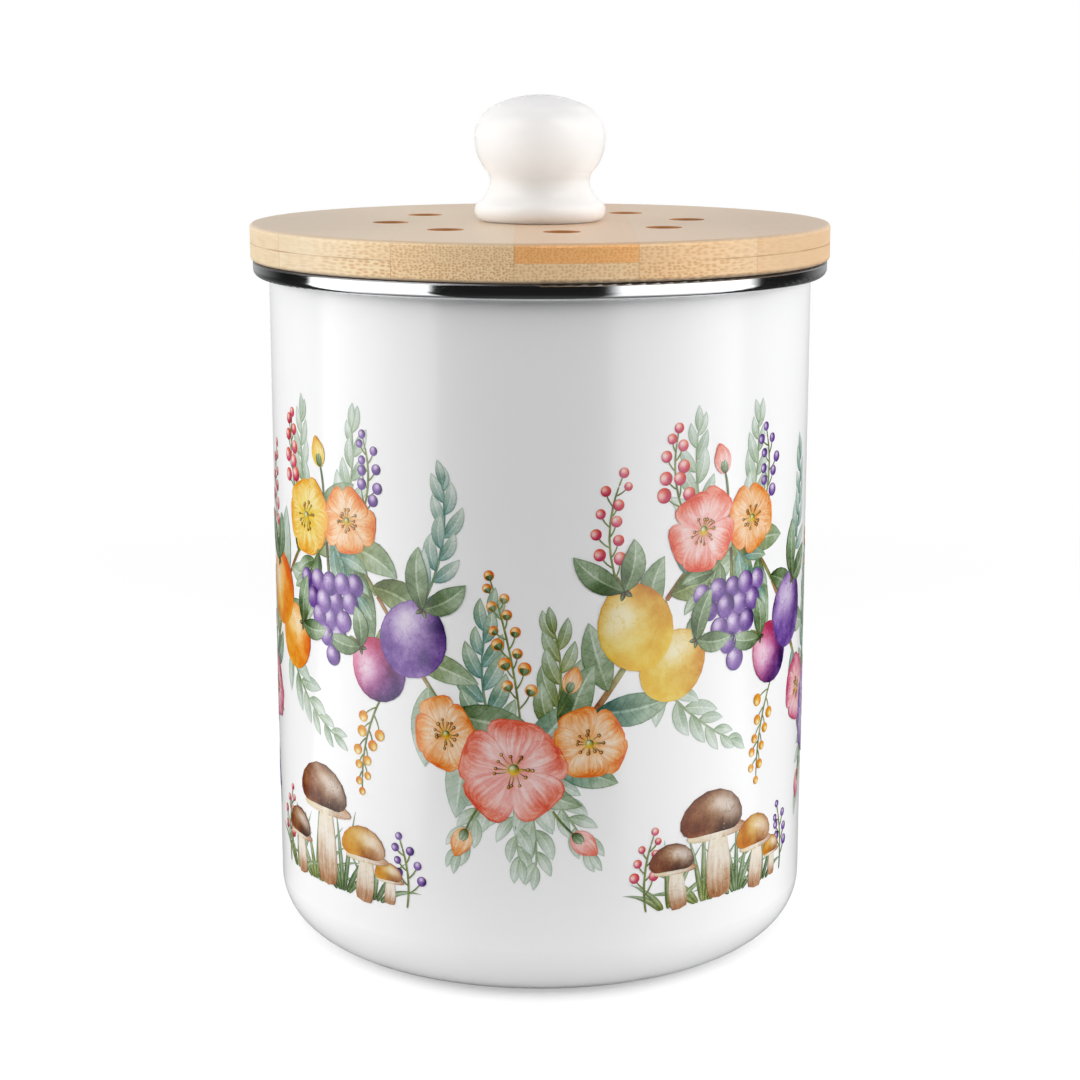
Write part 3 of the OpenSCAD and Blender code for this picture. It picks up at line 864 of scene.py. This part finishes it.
def grapes(top, lean, tints):
    """A hanging bunch: rows of berries, one fewer in each row, packed as closely as they lie."""
    rows, radius, layer = 5, 2.7, 13
    top = np.asarray(top, float)
    across = np.array([-math.sin(lean), math.cos(lean)])
    down = heading(lean)
    row = np.concatenate([np.full(rows - i, i) for i in range(rows)])
    place = np.concatenate([np.arange(rows - i) - (rows - 1 - i) / 2 for i in range(rows)])
    centres = top + np.outer(row * radius * 1.62 + radius, down) + np.outer(place * radius * 1.75, across)
    centres = centres + jitter(centres.shape, 0.35)
    discs(centres, radius * (1 + jitter(len(row), 0.1)), tints, 1.0 + jitter(len(row), 0.22),
          layer + (row + np.arange(len(row))) % 4)
    stroke("stem", spines(top - down * 7, lean, 8.5, 0.0), 0.45, STEM_FORM, (UMBER, OLIVE), 1.0, layer - 1)


def mushroom(foot, high, cap, lean, tints, layer):
    """A stout stalk that swells at its foot, a slim pale underside, and an arched cap over it."""
    stalk = spines(foot, math.pi / 2 + lean, high, -lean)
    stroke("petal", stalk, cap * 0.19, STALK_FORM, (CHESTNUT, CREAM), 0.62, layer)
    tip, _ = tips(stalk)
    below = spines(tip + [-cap * 0.46, -cap * 0.14], 0.16, cap * 0.93, -0.3)
    stroke("petal", below, cap * 0.1, ROUND_FORM, (CREAM, CHESTNUT), 0.7, layer + 1)
    arched = spines(tip + [-cap * 0.5, -cap * 0.08], 0.9, cap * 1.12, -1.8)
    stroke("fruit", arched, cap * 0.26, CAP_FORM, tints, 1.0, layer + 2)


def grass(start, count, high, tints):
    """A tuft of blades that fan out from one foot."""
    fan = np.linspace(-0.75, 0.75, count) + jitter(count, 0.12)
    feet = np.asarray(start, float) + np.stack([fan * 3.0, np.zeros(count)], -1)
    long = high * (1 - 0.3 * np.abs(fan)) * (1 + jitter(count, 0.2))
    curves = spines(feet, math.pi / 2 - fan, long, -fan * 1.1)
    stroke("leaf", curves, 0.75, BLADE_FORM, tints, 0.85, 5 + np.arange(count) % 3)


def wave(u):
    """The garland's branch at u periods: z = middle + height sin(2 pi u). Returns points and headings."""
    u = np.asarray(u, float)
    s = WAVE_FROM + u * PERIOD
    z = WAVE_MIDDLE + WAVE_HEIGHT * np.sin(2 * np.pi * u)
    slope = WAVE_HEIGHT * 2 * np.pi / PERIOD * np.cos(2 * np.pi * u)
    return np.stack([s, z], -1), np.arctan(slope)


def branch(u0, u1, pieces):
    """The branch itself, as short strokes that overlap at their ends and follow the wave's headings."""
    u = np.linspace(u0, u1, pieces + 1)
    points, ways = wave(u)
    step = np.linalg.norm(np.diff(points, axis=0), axis=1)[:, None] / 3
    curves = np.stack([points[:-1], points[:-1] + heading(ways[:-1]) * step,
                       points[1:] - heading(ways[1:]) * step, points[1:]], 1)
    stroke("stem", curves, 0.62 + jitter(pieces, 0.14), BRANCH_FORM, (CHESTNUT, OLIVE), 0.95, 6)


def garland_leaves(u0, u1, count):
    """Leaves on both sides of the branch, by turns."""
    u = np.linspace(u0, u1, count, endpoint=False) + jitter(count, 0.006)
    points, ways = wave(u)
    side = by_turns(count)
    long = 18.5 * (1 + jitter(count, 0.2))
    opened = 0.8 + jitter(count, 0.25)
    curves = spines(points, ways + side * opened, long, -side * (0.5 + jitter(count, 0.45)))
    pick = rng.integers(0, 4, count)
    first = np.stack([MOSS, SAGE, TEAL, OLIVE])[pick]
    second = np.stack([SAGE, MIST, SAGE, SAGE])[pick]
    stroke("leaf", curves, long * (0.19 + jitter(count, 0.03)), LEAF_FORM, (first, second),
           0.95 + jitter(count, 0.25), 7 + np.arange(count) % 4)


def trough(u, warm):
    """The low bend of the garland: three blossoms, buds, and twigs that hang or rise behind them."""
    (s, z), _ = wave(u)
    main = (BLUSH, CORAL) if warm else (LILAC, VIOLET)
    side = (APRICOT, ORANGE) if warm else (BLUSH, ROSE)
    for lean, long in ((-2.35, 26), (-1.75, 23), (-1.2, 25), (-0.7, 27)):
        twig((s, z), lean, long, -0.4 * np.sign(lean + 1.5), 9, 11, (SAGE, MIST), wash=0.62, layer=0)
    twig((s - 4, z + 3), 2.0, 34, -0.7, 11, 12, (TEAL, SAGE), wash=0.8, layer=2)
    twig((s + 5, z + 3), 1.05, 30, 0.8, 10, 12, (OLIVE, SAGE), wash=0.8, layer=2)
    beads((s + 1, z + 4), 1.62, 38, 0.25, 13, 1.5, (AMBER, ORANGE), layer=5, cap=MOSS)
    blossom((s - 1, z - 1), 24, 0.35, main, tilt=0.94, layer=16)
    blossom((s - 17, z + 6.5), 17.5, 1.9, side, tilt=0.8, layer=12)
    blossom((s + 16.5, z + 5), 18.5, -0.5, side, tilt=0.78, layer=12)
    bud((s - 9, z - 10), -2.2, 7.5, side)
    bud((s + 8, z - 11), -1.0, 8, main)
    bud((s + 9, z + 12), 1.0, 6.5, side)


def crest(u, warm):
    """The high bend: two blossoms with a bunch of grapes hanging under them."""
    (s, z), _ = wave(u)
    main = (LEMON, AMBER) if warm else (BLUSH, CORAL)
    for side, lean in ((-1, 1.95), (1, 1.15)):
        twig((s + side * 6, z), lean, 27, side * 0.5, 9, 11, (SAGE, MIST), wash=0.65, layer=0)
    beads((s - 10, z + 2), 2.2, 24, -0.8, 9, 1.7, (ROSE, CORAL), layer=4)
    beads((s + 11, z + 2), 0.95, 22, 0.9, 9, 1.4, (VIOLET, PLUM), layer=4)
    blossom((s - 7.5, z + 3), 19, 0.9, main, tilt=0.85, layer=14)
    blossom((s + 8.5, z + 4), 16.5, -0.2, (APRICOT, ORANGE), tilt=0.9, layer=12)
    bud((s, z + 9), 1.6, 7.5, main)
    grapes((s + 1.5, z - 9), -1.5, (VIOLET, PLUM))
    twig((s + 1, z - 2), -2.5, 19, 0.7, 7, 11, (MOSS, SAGE), wash=0.95, layer=9)
    twig((s + 2, z - 2), -0.6, 18, -0.7, 7, 11, (TEAL, SAGE), wash=0.95, layer=9)


def rise(u, warm):
    """The climbing stretch: oranges or lemons with their leaves."""
    (s, z), _ = wave(u)
    tints = (AMBER, ORANGE) if warm else (LEMON, HONEY)
    long = 1.0 if warm else 1.18
    fruit((s - 1, z + 4), 9.3, tints, 1.9, 15, 15, long=long)
    fruit((s + 9, z - 6), 8.2, tints, 0.7, 13, 13, long=long)
    beads((s - 3, z + 9), 2.1, 30, -0.9, 10, 1.5, (ROSE, CORAL), layer=3)
    twig((s + 4, z - 8), -0.95, 30, 0.5, 10, 11, (SAGE, MIST), wash=0.7, layer=0)


def fall(u, warm):
    """The descending stretch: plums with their leaves, and a spray of buds."""
    (s, z), _ = wave(u)
    fruit((s + 1, z + 3.5), 8.8, (VIOLET, PLUM), 1.2, 15, 15, long=1.1)
    fruit((s - 9, z - 5), 7.6, (PLUM, ROSE), 2.4, 13, 12, long=1.1)
    twig((s + 2, z + 9), 1.0, 33, 0.7, 11, 11, (TEAL, MIST), wash=0.75, layer=1)
    beads((s - 6, z - 9), -2.2, 26, 0.6, 10, 1.4, (AMBER, HONEY), layer=3)


def woodland(u, big):
    """Mushrooms in grass on the ground under a crest."""
    s = WAVE_FROM + u * PERIOD
    for off, count, high in ((-16, 6, 17), (-6, 7, 21), (5, 7, 19), (15, 6, 15)):
        grass((s + off, GROUND), count, high, (MOSS, SAGE) if off % 2 else (OLIVE, SAGE))
    mushroom((s - 1, GROUND), 22 if big else 19, 21, 0.05, (CHESTNUT, UMBER), layer=10)
    mushroom((s + 12, GROUND - 1), 13, 15, -0.16, (HONEY, CHESTNUT), layer=12)
    mushroom((s - 13, GROUND - 0.5), 11.5, 13, 0.2, (CHESTNUT, UMBER), layer=12)
    mushroom((s + 20, GROUND), 7, 8.5, -0.1, (HONEY, CHESTNUT), layer=9)
    beads((s - 22, GROUND), 1.75, 17, -0.5, 8, 1.2, (ROSE, CORAL), layer=8)
    beads((s + 25, GROUND), 1.4, 15, 0.5, 7, 1.2, (VIOLET, PLUM), layer=8)


def draw_garland():
    """The whole drawing. Its warm and its cool periods take turns."""
    for k in range(REPEATS):
        warm = k % 2 == 0
        branch(k, k + 1, 12)
        garland_leaves(k, k + 1, 22)
        rise(k + 0.02, warm)
        crest(k + 0.25, warm)
        fall(k + 0.5, warm)
        trough(k + 0.75, warm)
        woodland(k + 0.25, warm)


# ---------------------------------------------------------------- the print, laid on the can

# In millimetres: how far a stroke's back is inside the enamel and the lowest stroke's top outside it, the
# step from layer to layer, the least half width, and how far from its edge a stroke's end counts as being
INK_SUNK = 0.06
INK_LOWEST = 0.02
INK_LAYER = 0.008
THINNEST = 0.02
END_EDGE = 0.3
# Points along and across a stroke
STROKE_GRID = {"leaf": (12, 5), "petal": (10, 6), "fruit": (12, 8), "stem": (12, 3)}


def lay_strokes(name, rows, grid, material):
    """Turns strokes into one piece: a thin closed shell for each, wrapped round the can.

    Point t, v of a stroke lies at curve(t) + v w(t) left(t), with v from -1 to 1 and
    w(t) = width (t^a (1 - t)^b) / max. The tip's middle is drawn back by notch (1 - v^2) t^5. The flat
    s then becomes the angle s / R round the can. The shell's top is a little outside the enamel, by its
    layer, and its back, which needs no middle points, is a little inside.
    """
    count, (n, m) = len(rows), grid
    t = (1 - np.cos(np.linspace(0, np.pi, n))) / 2
    v = np.linspace(-1, 1, m)
    points, ways = along(rows["curve"], t[None])
    a, b = rows["form"].T[..., None]
    with np.errstate(divide="ignore", invalid="ignore"):
        peak = (a / (a + b)) ** a * (b / (a + b)) ** b
    half = np.maximum(rows["width"][:, None] * t ** a * (1 - t) ** b / peak, THINNEST)
    left = heading(ways + np.pi / 2)
    flat = points[:, :, None] + left[:, :, None] * (half[..., None] * v)[..., None]
    long = np.linalg.norm(points[:, -1] - points[:, 0], axis=-1)
    back = (rows["notch"] * long)[:, None, None] * (t ** 5)[:, None] * (1 - v ** 2)
    flat = flat - heading(ways)[:, :, None] * back[..., None]
    edge = half[..., None] * (1 - np.abs(v))
    edge = np.minimum(edge, (long[:, None] * (1 - t))[..., None] + END_EDGE)

    def with_back(grid_values):
        """Values for the top's points, then for the back's, which are the same at the outer columns."""
        rims = grid_values[:, :, [0, -1]]
        return np.concatenate([grid_values.reshape(count, n * m, -1), rims.reshape(count, n * 2, -1)], 1)

    flat = with_back(flat)
    high = np.concatenate([np.repeat((INK_LOWEST + INK_LAYER * rows["layer"])[:, None], n * m, 1),
                           np.full((count, n * 2), -INK_SUNK)], 1)
    turn = flat[..., 0] / CAN_R_MM
    out = np.stack([np.sin(turn), -np.cos(turn), np.zeros_like(turn)], -1)
    place = out * (CAN_R_MM + high)[..., None]
    place[..., 2] = flat[..., 1]

    top = np.arange(n * m).reshape(n, m)
    low = n * m + np.arange(n * 2).reshape(n, 2)
    quads = np.concatenate([
        np.stack([top[:-1, :-1], top[1:, :-1], top[1:, 1:], top[:-1, 1:]], -1).reshape(-1, 4),
        np.stack([low[:-1, 1], low[1:, 1], low[1:, 0], low[:-1, 0]], -1),
        np.stack([low[:-1, 0], low[1:, 0], top[1:, 0], top[:-1, 0]], -1),
        np.stack([top[:-1, -1], top[1:, -1], low[1:, 1], low[:-1, 1]], -1)])
    ends = [[*top[0], low[0, 1], low[0, 0]], [*top[-1, ::-1], low[-1, 0], low[-1, 1]]]
    each = n * m + n * 2
    faces = (quads[None] + np.arange(count)[:, None, None] * each).reshape(-1, 4).tolist()
    for end in ends:
        faces += (np.array(end)[None] + np.arange(count)[:, None] * each).tolist()

    mesh = bpy.data.meshes.new(name)
    mesh.from_pydata((place.reshape(-1, 3) * MM).tolist(), [], faces)
    mesh.shade_smooth()
    facing = out * np.where(high > 0, 1.0, -1.0)[..., None]
    mesh.normals_split_custom_set_from_vertices(facing.reshape(-1, 3).tolist())

    def store(label, kind, field, *channels):
        """An attribute of the points. Each channel is a value, or an array that fits the top's grids."""
        values = np.stack([np.broadcast_to(channel, (count, n, m)) for channel in channels], -1)
        mesh.attributes.new(label, kind, "POINT").data.foreach_set(field, with_back(values).ravel())

    # The share of the last paint rises along the stroke as 3 t^2 - 2 t^3
    share = (t * t * (3 - 2 * t))[:, None, None]
    tint = rows["first"][:, None, None] * (1 - share) + rows["last"][:, None, None] * share
    store("tint", "FLOAT_COLOR", "color", *np.moveaxis(tint, -1, 0), 1.0)
    store("stroke", "FLOAT_VECTOR", "vector", t[:, None], v, rows["seed"][:, None, None])
    store("wash", "FLOAT_VECTOR", "vector", rows["wash"][:, None, None], edge, 0.0)

    mesh.materials.append(material)
    piece = in_scene(name, mesh)
    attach(piece, "can")


def lay_print(inks):
    """Each kind of stroke becomes one piece for each repeat of the garland."""
    draw_garland()
    for kind, batches in drawing.items():
        rows = np.concatenate(batches)
        repeat = np.floor(np.mod(rows["curve"][..., 0].mean(1) / PERIOD + 0.5, REPEATS)).astype(int)
        for k in range(REPEATS):
            lay_strokes(f"print_{kind}_{k + 1}", rows[repeat == k], STROKE_GRID[kind], inks[kind])


# ---------------------------------------------------------------- the scene

bpy.context.scene.view_settings.view_transform = "Standard"
room = room_group()
make_camera()
make_world(room)
for lamp_name, lamp_settings in LAMPS.items():
    softbox(lamp_name, *lamp_settings)
make_floor(room)
dress_nodes()
lay_print(make_inks())
